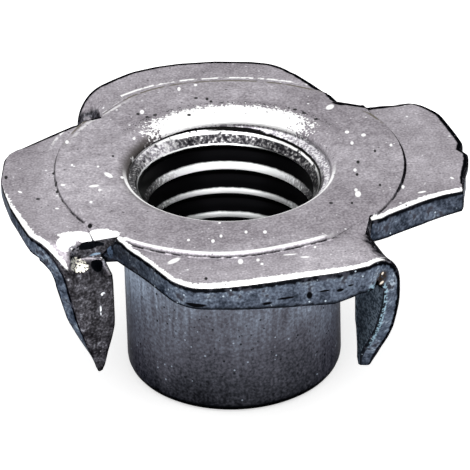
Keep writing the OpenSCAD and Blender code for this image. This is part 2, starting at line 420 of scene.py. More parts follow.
def pocket(lobe, w, share, depth):
    """Where the punch's nose put a point of the strip, a share of the way round: (u, z)."""
    wall, leg = straight(POCKET_WALL, w), straight(LEG_U[lobe], w)
    floor, roll = straight(POCKET_FLOOR, w), straight(POCKET_ROLL, w)
    # top and lower surface as (share, u, z), from the wall up to the ledge, then from the leg
    top = [
        (0.0, POCKET_START, 0.0), (0.12, wall - 0.55, -0.03), (0.24, wall - 0.25, -0.14),
        (0.34, wall - 0.07, -0.4), (0.45, wall, -0.8), (0.54, wall + 0.04, floor),
        (0.62, wall + 0.2, floor - 0.04), (0.74, leg - 0.45 - roll, floor - 0.12),
        (0.84, leg - 0.15 - roll, floor - 0.28 - roll / 2),
        (0.92, leg - 0.03, floor - 0.6 - roll / 2), (1.0, leg, POCKET_END),
    ]
    low = [
        (0.0, POCKET_START, -1.3), (0.12, wall - 0.8, -1.3), (0.24, wall - 0.65, -1.32),
        (0.34, wall - 0.6, -1.4), (0.45, wall - 0.55, -1.65), (0.54, wall - 0.45, -1.95),
        (0.62, wall - 0.3, -2.1), (0.74, leg - 1.32, -2.22), (0.84, leg - 1.2, -2.32),
        (0.92, leg - 1.1, -2.4), (1.0, leg - LEG_T, POCKET_END - 0.02),
    ]
    q = depth / LEG_T
    return [
        (1 - q) * straight([(row[0], row[n]) for row in top], share)
        + q * straight([(row[0], row[n]) for row in low], share)
        for n in (1, 2)
    ]


def bent(lobe, w, u, depth):
    """Where the press puts a point of the flat strip: depth is measured from its top surface."""
    start, leg = straight(BEND_START[lobe], w), straight(LEG_U[lobe], w)
    bend_r = leg - start
    quarter = (bend_r - LEG_T / 2) * math.pi / 2
    whole = start + quarter + DROP - bend_r
    if u > 0:
        u *= whole / PRONG_LONG
    along = u - start
    if along <= 0:
        u, z = u, -depth
    elif along < quarter:
        a = along / quarter * math.pi / 2
        u, z = start + (bend_r - depth) * math.sin(a), -bend_r + (bend_r - depth) * math.cos(a)
    else:
        u, z = leg - depth, -bend_r - (along - quarter)
    reach = along + start
    end = start + quarter - POCKET_END - bend_r
    deep = straight(POCKET_DEEP, w) * POCKET_SHARP[lobe]
    if deep > 0 and POCKET_START < reach < end:
        share = (reach - POCKET_START) / (end - POCKET_START)
        pu, pz = pocket(lobe, w, share, depth)
        u, z = u + (pu - u) * deep, z + (pz - z) * deep
    return w, u, z


# --- the nut's body -----------------------------------------------------------------------------

# Wall from the thread's top over the rounded lip, and from the seat's fillet down the tube to its
# end: (radius, height from the lobes)
FUNNEL = [
    (5.07, -0.50), (5.12, -0.475), (5.28, -0.455), (5.35, -0.42), (5.37, -0.35), (5.385, -0.25),
    (5.41, -0.14), (5.455, -0.04), (5.53, 0.04), (5.65, 0.105), (5.85, 0.155), (6.1, 0.195),
    (6.44, RAISED),
]
TUBE = [
    (6.5, -1.3), (6.232, -1.353), (6.005, -1.505), (5.853, -1.732), (5.8, -2.0), (5.8, -2.6),
    (5.8, -4.0), (5.8, -6.0), (5.8, -8.0), (5.8, -10.0), (5.8, -11.03), (5.773, -11.237),
    (5.693, -11.43), (5.566, -11.596), (5.4, -11.723), (5.207, -11.803), (5.0, -11.83),
    (4.95, -11.83), (4.915, -11.818),
]
ROUND_FLANGE_R = 12.1


def round_flange(kind, i):
    """A station of the sheet while its edge is still round: (radius, height from the lobes).

    Only the order counts, because the pressing moves them all.
    """
    order = [label[0] for label in sheet_stations()]
    first = order.index(kind)
    if kind == "face":
        return FACE[i], RAISED
    if kind in ("step", "land", "turn"):
        return 9.3 + 0.18 * (first + i - len(FACE)), 0
    if kind in ("wall", "under_turn"):
        return ROUND_FLANGE_R, -0.2 * (first + i - order.index("wall") + 1)
    return ROUND_FLANGE_R - 1.0 * (i + 1), -SEAT_T


def spun_body():
    """The sheet, lip and tube in one spin, with each vertex marked by its station and column."""
    labels = [("funnel", i) for i in range(len(FUNNEL))] + sheet_stations()
    labels += [("tube", i) for i in range(len(TUBE))]
    bm = bmesh.new()
    station = bm.verts.layers.int.new("station")
    column = bm.verts.layers.int.new("column")
    for name in ("from_step", "from_rim", "rub", "down"):
        bm.verts.layers.float.new(name)
    chain = []
    for n, (kind, i) in enumerate(labels):
        place = {"funnel": FUNNEL, "tube": TUBE}.get(kind)
        radius, z = place[i] if place else round_flange(kind, i)
        vert = bm.verts.new((radius, 0, z))
        vert[station] = n
        chain.append(vert)
    edges = [bm.edges.new(pair) for pair in zip(chain, chain[1:])]
    bmesh.ops.spin(
        bm, geom=chain + edges, cent=(0, 0, 0), axis=(0, 0, 1), angle=2 * math.pi, steps=COLUMNS,
        use_merge=True, use_duplicate=False,
    )
    first = int(COLUMNS * (90 - PRONG_TURN) / 360)      # number of the column that lies along +X
    for vert in bm.verts:
        spun = math.atan2(vert.co.y, vert.co.x) / (2 * math.pi) * COLUMNS
        vert[column] = (round(spun) + first) % COLUMNS
    return bm, labels, station, column


# How far down the sheared edge each of its stations lies, from 0 to 1, and past 1 underneath
DOWN = {
    "wall": RIM_WALL, "under_turn": [1.0, 1.1, 1.2], "under": [1.25, 1.5, 2.0, 2.0, 2.0],
}
FAR = 9.0                   # from_rim of what is nowhere near the rim
OFF_STEP = 3.0              # from_step of what is well off the step, negative inside it


def press_outline(bm, labels, station, column):
    """Moves the round flange's stations to the pinwheel's outline. Returns the verts by mark.

    Each vertex keeps what its finish needs: its distances from the step and the rim, the width of
    the painted highlight along the edge, negative for painted shade, and how far down the edge it
    is.
    """
    edges = [outline(lobe) for lobe in range(4)]
    normals = [outward(lobe, edge) for lobe, edge in enumerate(edges)]
    from_step, from_rim, rub, down = (
        bm.verts.layers.float[name] for name in ("from_step", "from_rim", "rub", "down")
    )
    by_mark = {}
    for vert in bm.verts:
        kind, i = labels[vert[station]]
        by_mark[vert[column], vert[station]] = vert
        if kind in ("funnel", "tube"):
            vert[from_step], vert[from_rim] = -OFF_STEP, FAR
            continue
        lobe, c = divmod(vert[column], PER_LOBE)
        spun_angle = math.atan2(vert.co.y, vert.co.x)
        vert.co = sheet_point(lobe, c, kind, i, edges[lobe][c], normals[lobe][c], spun_angle)
        azimuth = math.degrees(math.atan2(vert.co.y, vert.co.x))
        vert[from_step] = vert.co.xy.length - ring_r(azimuth % 360)
        vert[from_rim] = (edges[lobe][c] - vert.co.xy).length
        vert[rub] = straight(PAINTED_EDGE_BANDS[lobe], c)
        vert[down] = DOWN[kind][i] if kind in DOWN else 0.0
    return by_mark


def bend_lobes(labels, station, column, by_mark):
    """Bends the part of each lobe that lies past the start of its bend."""
    for vert in by_mark.values():
        if labels[vert[station]][0] in ("funnel", "tube", "face"):
            continue
        lobe, c = divmod(vert[column], PER_LOBE)
        w, u = in_lobe(lobe, vert.co.xy)
        if c < PER_LOBE // 2 or w < SLIT_W:
            continue
        w, u, z = bent(lobe, w, u, -vert.co.z)
        vert.co = (*turned(lobe, w, u), z)


# Distances of a prong's sections from the bend line, close together around the bend
SECTIONS = [0.08 * n for n in range(1, 36)] + [3.2 + 0.4 * n for n in range(13)] + [8.3, 8.37]
# How far the inner end of the first section is ahead of its outer end, and where that fades
SKEW = [1.6, 1.6, 1.7, 2.0]
SKEW_W, SKEW_LONG = [(9.3, 1.0), (10.4, 0.0)], 3.2
STEP_LONG = 0.5             # length over which the coined step runs out on a prong
INNER_BAND = 0.05           # share of the width inside which the marks nearest the slit stay
FIRST_IN = 0.001            # and how far from the slit's edge the first of them is
UNDER_OUTER, UNDER_INNER = (0.01, 0.12, 0.7), (0.01, 0.05, 0.12)    # the same for the underside


def prong_point(lobe, is_outer, kind, i, share, raise_z, along):
    """Where one mark of the strip's section lies at a distance along the prong, once bent."""
    tip = max(0.0, along - PRONG_LONG)
    top = straight(PRONG_CURL, along) + tip
    fuller = lobe == TORN and is_outer
    low = top + straight(FULL_T if fuller else PRONG_T, along) - 2 * tip
    turn_r, under_r = EDGE_R * straight(PRONG_BLUNT, along), UNDER_R * straight(PRONG_BLUNT, along)
    if kind in ("step", "land"):
        depth = top - raise_z * max(0.0, 1 - along / STEP_LONG)
    elif kind == "turn":
        depth = top + turn_r * (1 - math.cos(math.radians(RIM_TURN[i])))
    elif kind == "wall":
        depth = top + turn_r + (low - under_r - top - turn_r) * RIM_WALL[i]
    elif kind == "under_turn":
        depth = low - under_r * (1 - math.sin(math.radians(UNDER_TURN[i])))
    else:
        depth = low
    through = (depth - top) / (low - top)
    inner = straight(PRONG_IN, along) + straight(LEAN_IN, along) * through + tip
    outer = straight(PRONG_OUT[lobe], along) + straight(LEAN_OUT[lobe], along) * through - tip
    width = outer - inner
    side, sign = (outer, -1) if is_outer else (inner, 1)
    if kind in ("step", "land"):
        near = inner + turn_r + INNER_BAND * width
        w = near + share * (outer - turn_r - near)
        if not is_outer:
            order = (i + len(STEP) * (kind == "land")) / (len(STEP) + len(LAND))
            w = near - (FIRST_IN + (INNER_BAND - FIRST_IN) * order) * width
    elif kind == "turn":
        w = side + sign * turn_r * (1 - math.sin(math.radians(RIM_TURN[i])))
    elif kind == "wall":
        w = side
    elif kind == "under_turn":
        w = side + sign * under_r * (1 - math.cos(math.radians(UNDER_TURN[i])))
    else:
        spread = (UNDER_OUTER if is_outer else UNDER_INNER)[i]
        w = side + sign * (under_r + spread * (width - 2 * under_r))
    ahead = SKEW[lobe] * straight(SKEW_W, w) * max(0.0, 1 - along / SKEW_LONG)
    return bent(lobe, w, along + ahead, depth)


def draw_out_prong(bm, labels, station, column, by_mark, lobe):
    """Opens the sheet at the lobe's bend line and extrudes the prong from it in sections."""
    outer, inner = PER_LOBE * lobe + PER_LOBE - 1, (PER_LOBE * (lobe + 1)) % COLUMNS
    # the marks of the strip's section: not the face, nor what is underneath past the bend line
    strip = [
        n for n, (kind, i) in enumerate(labels)
        if kind not in ("funnel", "tube", "face") and (kind, i) not in (("under", 3), ("under", 4))
    ]
    from_step = bm.verts.layers.float["from_step"]
    ring = {by_mark[c, n] for c in (outer, inner) for n in strip}
    loop = []
    for c in (outer, inner):
        loop += [bm.edges.get((by_mark[c, a], by_mark[c, b])) for a, b in zip(strip, strip[1:])]
    loop += [bm.edges.get((by_mark[outer, n], by_mark[inner, n])) for n in (strip[0], strip[-1])]
    between = {
        f for e in loop for f in e.link_faces
        if all(v in ring for v in f.verts) and len({v[column] for v in f.verts}) == 2
    }
    shares, raises = {}, {}
    for n in strip:
        w, _ = in_lobe(lobe, by_mark[outer, n].co.xy)
        shares[n] = (w - BEND_W) / (RIM[lobe][-1][1] - EDGE_R - BEND_W)
        raises[n] = by_mark[outer, n].co.z
    bmesh.ops.delete(bm, geom=list(between), context="FACES")
    for along in SECTIONS:
        made = bmesh.ops.extrude_edge_only(bm, edges=loop)["geom"]
        fresh = {g for g in made if isinstance(g, bmesh.types.BMVert)}
        loop = [
            g for g in made
            if isinstance(g, bmesh.types.BMEdge) and all(v in fresh for v in g.verts)
        ]
        for vert in fresh:
            kind, i = labels[vert[station]]
            share, raise_z = shares[vert[station]], max(0.0, raises[vert[station]])
            is_outer = vert[column] == outer
            w, u, z = prong_point(lobe, is_outer, kind, i, share, raise_z, along)
            vert.co = (*turned(lobe, w, u), z)
            vert[from_step] = OFF_STEP
    bmesh.ops.contextual_create(bm, geom=loop)


ROLLED, SHEARED, DRAWN, TAPPED = range(4)       # material slots of the nut
SHEARED_FROM, TAPPED_TO = 3, 5      # first station of the rim's turn and last of the funnel's


def zone(labels):
    """The slot of a face from the labels of its corners."""
    kinds, order = {kind for kind, _ in labels}, [i for _, i in labels]
    if kinds & {"tube", "under"}:
        return DRAWN
    if kinds & {"wall", "under_turn"} or kinds == {"turn"} and min(order) >= SHEARED_FROM:
        return SHEARED
    return TAPPED if kinds == {"funnel"} and max(order) <= TAPPED_TO else ROLLED


def open_loop(bm, low, high):
    """The open edges around the hole between two heights."""
    return [
        e for e in bm.edges
        if e.is_boundary and all(low < v.co.z < high and v.co.xy.length < FACE[0] for v in e.verts)
    ]


def make_tee_nut():
    """The whole nut: body, prongs and thread in one closed mesh."""
    bm, labels, station, column = spun_body()
    by_mark = press_outline(bm, labels, station, column)
    for lobe in range(4):
        draw_out_prong(bm, labels, station, column, by_mark, lobe)
    bend_lobes(labels, station, column, by_mark)
    for face in bm.faces:
        face.material_index = zone([labels[v[station]] for v in face.verts])
    bmesh.ops.remove_doubles(bm, verts=bm.verts, dist=BODY_MERGE)

    thread = tapped_wall()
    for face in thread.faces:
        face.material_index = TAPPED
    mesh = bpy.data.meshes.new("thread")
    thread.to_mesh(mesh)
    thread.free()
    bm.from_mesh(mesh)
    bpy.data.meshes.remove(mesh)
    for low, high in ((-1, 0), (-12, -11)):         # at the funnel, and at the tube's end
        made = bmesh.ops.bridge_loops(bm, edges=open_loop(bm, low, high))
        for face in made["faces"]:
            face.material_index = TAPPED
    bmesh.ops.dissolve_degenerate(bm, edges=bm.edges, dist=SLIVER)
    bmesh.ops.recalc_face_normals(bm, faces=bm.faces)
    for face in bm.faces:
        face.smooth = True
    for edge in bm.edges:
        edge.smooth = len(edge.link_faces) != 2 or edge.calc_face_angle() < CREASE
    bmesh.ops.translate(bm, vec=(0, 0, LOBE_TOP), verts=bm.verts)
    bmesh.ops.scale(bm, vec=(MM, MM, MM), verts=bm.verts)
    mesh = bpy.data.meshes.new("tee_nut_body")
    bm.to_mesh(mesh)
    bm.free()
    nut = bpy.data.objects.new("tee_nut_body", mesh)
    bpy.context.collection.objects.link(nut)
    return nut


# --- materials ----------------------------------------------------------------------------------

def linear(hex_colour):
    """Linear RGBA of an sRGB hex colour."""
    parts = [int(hex_colour[i:i + 2], 16) / 255 for i in (1, 3, 5)]
    return [v / 12.92 if v <= 0.04045 else ((v + 0.055) / 1.055) ** 2.4 for v in parts] + [1.0]


def wire(tree, node, **inputs):
    """Sets a node's inputs, or links those that are given a socket, or a node's first output.

    An input goes by its name, with _ for a space, or by its number, as in i0. Colours are hex.
    """
    for name, value in inputs.items():
        numbered = name[0] == "i" and name[1:].isdigit()
        socket = node.inputs[int(name[1:]) if numbered else name.replace("_", " ")]
        if isinstance(value, bpy.types.Node):
            value = value.outputs[0]
        if isinstance(value, bpy.types.NodeSocket):
            tree.links.new(value, socket)
        else:
            socket.default_value = linear(value) if isinstance(value, str) else value


def add(tree, kind, settings=None, **inputs):
    """Adds a node. The setting "stops" is a colour ramp's (place, hex colour) pairs."""
    node = tree.nodes.new(kind)
    for name, value in (settings or {}).items():
        if name == "stops":
            elements = node.color_ramp.elements
            while len(elements) < len(value):
                elements.new(1.0)
            for element, (at, colour) in zip(elements, value):
                element.position, element.color = at, linear(colour)
        else:
            setattr(node, name, value)
    wire(tree, node, **inputs)
    return node


def finish(name):
    """A metal material: (material, its nodes, its shader, places in mm, the object's normal)."""
    material = bpy.data.materials.new(name)
    material.use_nodes = True
    tree = material.node_tree
    shader = tree.nodes["Principled BSDF"]
    shader.inputs["Metallic"].default_value = 1.0
    texture = add(tree, "ShaderNodeTexCoord").outputs
    place = add(
        tree, "ShaderNodeVectorMath", {"operation": "SCALE"}, i0=texture["Object"], Scale=1 / MM,
    )
    return material, tree, shader, place, texture["Normal"]


def from_axis(tree, place):
    """Distance from the thread's axis."""
    level = add(tree, "ShaderNodeVectorMath", {"operation": "MULTIPLY"}, i0=place, i1=(1, 1, 0))
    return add(tree, "ShaderNodeVectorMath", {"operation": "LENGTH"}, i0=level).outputs["Value"]


def total(tree, start, *parts):
    """start and a number of (value, weight) pairs, added up."""
    for value, weight in parts:
        start = add(
            tree, "ShaderNodeMath", {"operation": "MULTIPLY_ADD"}, i0=value, i1=weight, i2=start,
        )
    return start


def weigh(tree, *parts):
    """Sum of (value, weight) pairs, each value taken from its middle, 0.5, around a sum of 0.5."""
    return total(tree, 0.5 - 0.5 * sum(weight for _, weight in parts), *parts)


def where(tree, *tests):
    """A mask that is 1 where all the tests hold, each a mask or (value, start, end).

    Such a test is 0 where the value is at start or before it, 1 at end or beyond, and eased
    between.
    """
    mask = None
    for test in tests:
        if isinstance(test, tuple):
            value, start, end = test
            test = add(
                tree, "ShaderNodeMapRange", {"interpolation_type": "SMOOTHSTEP"}, Value=value,
                From_Min=start, From_Max=end,
            )
        if mask is not None:
            test = add(tree, "ShaderNodeMath", {"operation": "MULTIPLY"}, i0=mask, i1=test)
        mask = test
    return mask


def band(value, low, high, soft):
    """The two tests of a value that lies between low and high, with soft edges."""
    return (value, low - soft, low + soft), (value, high + soft, high - soft)


def either(tree, *masks):
    """A mask that is 1 where any of the masks is."""
    most = masks[0]
    for mask in masks[1:]:
        most = add(tree, "ShaderNodeMath", {"operation": "MAXIMUM"}, i0=most, i1=mask)
    return most


def specks(tree, place, spacing, radius, share):
    """Round specks about spacing millimetres apart, on a share of the cells."""
    cells = add(tree, "ShaderNodeTexVoronoi", Vector=place, Scale=1 / spacing)
    chance = add(tree, "ShaderNodeSeparateColor", Color=cells.outputs["Color"])
    reach = radius / spacing
    return where(
        tree, (cells.outputs["Distance"], 1.35 * reach, 0.65 * reach),
        (chance, 1 - share, 1.02 - share),
    )


MARK_REACH = 1.5            # a mark's ball runs past its half sizes by this factor
MARK_FADE = (0.2, 0.5)      # how deep in the ball the mark starts and is whole
MARK_Z, MARK_DEEP = 12.0, 0.6   # height of the marks on the top, and how far up and down they go


def marks(tree, place, table):
    """Where the marks of a table are: rows of centre, half sizes and turn about Z in degrees."""
    inside = 0.0
    for centre, half, turn in table:
        at = add(
            tree, "ShaderNodeMapping", {"vector_type": "TEXTURE"}, Vector=place, Location=centre,
            Rotation=(0, 0, math.radians(turn)), Scale=[MARK_REACH * size for size in half],
        )
        ball = add(tree, "ShaderNodeTexGradient", {"gradient_type": "SPHERICAL"}, Vector=at)
        inside = either(tree, inside, ball.outputs["Fac"])
    return where(tree, (inside, *MARK_FADE))


def coats(tree, colour, *layers):
    """Lays colours over a colour, each where its mask is."""
    for mask, over in layers:
        mix = add(tree, "ShaderNodeMix", {"data_type": "RGBA"}, i0=mask, i6=colour, i7=over)
        colour = mix.outputs[2]
    return colour


def on_top(table):
    """Marks on the top of the nut from rows of x, y, half length, half width and turn."""
    return [((x, y, MARK_Z), (long, wide, MARK_DEEP), turn) for x, y, long, wide, turn in table]


FACE_EDGE, FACE_HIGH = 9.4, 0.22    # radius of the coined face, and its height over the lobes
# The camera's place from the middle of the lobes' top, in radii of the coined face: how far off
# the view's middle, and how far away
CAMERA_UNIT = 9.4 * MM
CAMERA_OFF, CAMERA_AWAY = (-0.0221, 0.3725), 28.0
CAMERA_DOWN, CAMERA_ROLL = math.radians(30.46), math.radians(-1.61)
SENSOR = 36.0               # mm
FRAME_PX, FOCAL_PX = 470, 4942.7    # width of the frame and focal length, in its pixels


def under_pixel(x, y, height):
    """The point at a height above the lobes' top that the camera shows at a pixel."""
    x, y = x - FRAME_PX / 2, y - FRAME_PX / 2
    cos, sin = math.cos(CAMERA_ROLL), math.sin(CAMERA_ROLL)
    aside, above = (cos * x + sin * y) / FOCAL_PX, (sin * x - cos * y) / FOCAL_PX
    cos, sin = math.cos(CAMERA_DOWN), math.sin(CAMERA_DOWN)
    unit = CAMERA_UNIT / MM
    near, rise = CAMERA_AWAY - height / unit * sin, CAMERA_OFF[1] + height / unit * cos
    back = (above * near - rise) / (sin - above * cos)
    return Vector((aside * (back * cos + near) - CAMERA_OFF[0], back)) * unit


def as_shown(table):
    """Marks on the top of the nut from rows of x, y, half width, half height and turn in pixels."""
    rows = []
    for x, y, wide, high, turn in table:
        height = FACE_HIGH
        if under_pixel(x, y, height).length > FACE_EDGE:
            height = 0.0
        middle = under_pixel(x, y, height)
        cos, sin = math.cos(math.radians(turn)), math.sin(math.radians(turn))
        long = under_pixel(x + wide * cos, y + wide * sin, height) - middle
        short = under_pixel(x - high * sin, y + high * cos, height) - middle
        if long.length < short.length:
            long, short = short, long
        turned = math.degrees(math.atan2(long.y, long.x)) % 180
        rows.append((middle.x, middle.y, long.length, short.length, turned))
    return on_top(rows)


# Shades of the finishes, from dark to light: (place on the ramp, colour)
ROLLED_SKIN = [
    (0.0, "#615D62"), (0.3, "#857F86"), (0.5, "#9A959B"), (0.7, "#AFAAB1"), (1.0, "#D4D0D5"),
]
# the painted shade on what turns steeply down
TURNED_DOWN_SHADE = [
    (0.0, "#0C0B0D"), (0.35, "#252427"), (0.55, "#3A393D"), (0.75, "#545359"), (1.0, "#8C8D94"),
]
SHEARED_STEEL = [
    (0.0, "#090B0F"), (0.35, "#2C323C"), (0.55, "#484F5C"), (0.75, "#626C7B"), (1.0, "#A3B0BC"),
]
DRAWN_STEEL = [
    (0.0, "#050607"), (0.22, "#17181C"), (0.38, "#313238"), (0.52, "#47474F"), (0.66, "#585B65"),
    (0.8, "#6C7380"), (1.0, "#949FAF"),
]
SPECKLED_STEEL = [
    (0.0, "#0E0E10"), (0.4, "#2E2D31"), (0.6, "#5B5A5C"), (0.8, "#A2A1A2"), (1.0, "#F0F0F0"),
]
FUNNEL_STEEL = [(0.0, "#8C8890"), (0.45, "#A8A4AC"), (0.55, "#E4E2E6"), (1.0, "#FFFFFF")]

# Bright dents and dark pits of the top, as the camera shows them, in the frame's pixels: x, y,
# half width, half height, turn
DENTS = [
    (142, 112, 2.2, 2.2, 0), (67, 142, 1.8, 1.8, 0), (79, 122, 2, 1.6, 0), (133, 155, 1.6, 3.2, 0),
    (108.5, 175, 4.5, 1.7, 35), (94, 186, 5, 1.3, -8), (122, 176, 1.6, 1.3, 0),
    (63, 185, 2.5, 0.95, 0), (20, 192, 2.2, 0.8, 30), (57, 208.5, 2, 0.8, 0),
    (91, 202, 1.6, 1.2, 0), (99.5, 190, 1.3, 1.3, 0), (330, 107, 3.6, 2.2, -45),
    (347, 132, 2.2, 1.5, 0), (363.5, 135, 2.25, 1.6, 10), (352, 143, 1.6, 1.6, 0),
    (355, 170, 1.6, 1.6, 0), (356, 190, 1.6, 1.6, 0), (358, 194, 3, 3, 0), (391, 145, 1.4, 1.4, 0),
    (403, 187, 1.5, 1.8, 0), (422, 192, 4.5, 0.9, -12), (452, 178, 2, 0.8, 30),
    (174, 260.8, 7, 2, -28), (240.5, 261.5, 2.8, 2.8, 0), (258, 260, 1.8, 1.5, 0),
    (262, 264, 1.7, 1.2, 0), (290, 254.5, 7.5, 0.7, -5), (305, 257, 5, 0.8, 0),
    (315, 247, 1.4, 1.4, 0), (213, 241, 1.8, 1.8, 0), (221, 236, 1.5, 1.5, 0),
    (188.5, 240, 1.5, 1.2, 0), (219.5, 222, 1.4, 1.2, 0), (246, 232, 1.5, 1.5, 0),
    (265, 232, 1.9, 1.6, 0), (179, 89, 1.6, 2, 0), (195.5, 85, 1.8, 1.1, 0),
    (98, 166.5, 1.2, 1, 0), (72, 165, 1.2, 1, 0), (134, 138, 1.5, 1.2, 0),
]
PITS = [
    (358, 162, 1.7, 1.7, 0), (357, 174.5, 1.5, 1.5, 0), (6, 177.5, 1.8, 2, 0),
    (380, 185, 1.3, 1.3, 0), (57, 188.5, 1.6, 1.3, 0), (90, 227.5, 2, 1.4, 40),
    (206, 278.5, 1.8, 1.5, 0), (53.5, 170, 1.8, 1.2, 0), (56, 182, 1.3, 1.8, 0),
    (331, 203, 2.2, 1, 10), (375, 151, 1.3, 1.3, 0), (207, 99, 1.5, 1.5, 0),
    (211, 101.5, 1.5, 1.2, 0), (196, 98, 2, 1, 0), (113, 156, 1.3, 1, 0), (38, 199, 2.5, 1, 0),
    (316, 119, 1.8, 1.2, 20), (304, 113, 2, 1, 15), (295, 109.5, 2, 1, 10), (189, 114.5, 2, 1, 0),
    (147, 117, 1.8, 1.1, 0), (155, 115, 2.2, 1, -10), (138, 114, 1.6, 1.2, -20),
    (352, 203, 1.3, 1.3, 0),
]
# Painted shade in the notch behind the right lobe and over the bend beside it
BEND_SHADE = [
    (6.1, 6.62, 0.45, 0.2, -15), (6.8, 6.5, 1.0, 0.2, -12), (7.65, 6.32, 0.4, 0.22, 0),
    (8.2, 6.42, 0.7, 0.22, 14), (9.25, 6.68, 1.0, 0.2, 10),
]

# Broad places where the strip is a little brighter, as marks() takes them
BRIGHT_SIDE = [((-7.2, 1.2, 12.0), (3.2, 4.5, 4.0), 0), ((1.5, -10.0, 12.0), (7.0, 2.2, 4.0), 5)]
# Places beside the left slit: a painted highlight where the bend starts, painted shade in the
# pocket, grey, painted shade on the top of the leg, a painted highlight on the ledge and a painted
# glint beside it, and nicks on the leg below
NOTCH_HIGHLIGHT = [
    ((-7.6, -6.42, 11.75), (1.5, 0.4, 0.8), 0), ((-8.6, -7.0, 11.65), (0.5, 0.55, 0.5), -20),
    ((-6.35, -6.72, 11.9), (0.6, 0.36, 0.5), 0),
]
POCKET_SHADE = [
    ((-7.3, -6.78, 11.35), (0.8, 0.35, 0.24), 0), ((-7.0, -7.2, 10.4), (0.45, 0.5, 0.3), 0),
]
POCKET_GREY = [((-8.25, -7.2, 11.35), (0.4, 0.4, 0.25), 0)]
LEG_TOP = [((-7.6, -7.65, 10.1), (1.2, 0.8, 0.75), 0)]
LEDGE_HIGHLIGHT = [((-8.1, -7.5, 10.65), (0.8, 0.55, 0.42), -20)]
LEDGE_GLINT = [((-7.1, -6.7, 10.78), (0.35, 0.2, 0.06), 0)]
LEG_NICKS = [
    ((-6.77, -7.57, 8.87), (0.12, 0.2, 0.1), 0), ((-6.92, -7.57, 7.9), (0.05, 0.3, 0.3), 0),
]
# The sheared edge's places: a smear and its bright nicks at the front bend, dark breaks in the
# burr, and a painted highlight on the slit's end wall
SMEAR = [((7.7, -9.45, 10.4), (0.42, 0.6, 0.6), 0)]
SMEAR_NICKS = [
    ((7.78, -9.46, 10.78), (0.08, 0.1, 0.09), 0), ((7.7, -9.31, 10.15), (0.17, 0.14, 0.1), 0),
]
BREAKS = [
    ((-1.9, -11.95, 10.72), (0.6, 0.4, 0.12), 0), ((1.75, -11.65, 10.5), (0.28, 0.3, 0.09), 0),
    ((2.75, -11.45, 10.66), (0.5, 0.3, 0.07), 0), ((3.95, -11.2, 10.62), (0.16, 0.3, 0.22), 0),
    ((4.75, -11.05, 10.76), (0.3, 0.3, 0.06), 0), ((5.55, -10.85, 10.66), (0.2, 0.3, 0.1), 0),
    ((6.1, -10.7, 10.82), (0.16, 0.3, 0.06), 0), ((7.45, -9.7, 10.25), (0.14, 0.3, 0.3), 0),
]
SLIT_END_HIGHLIGHT = [((-6.33, -6.84, 11.0), (0.15, 0.6, 0.42), 0)]


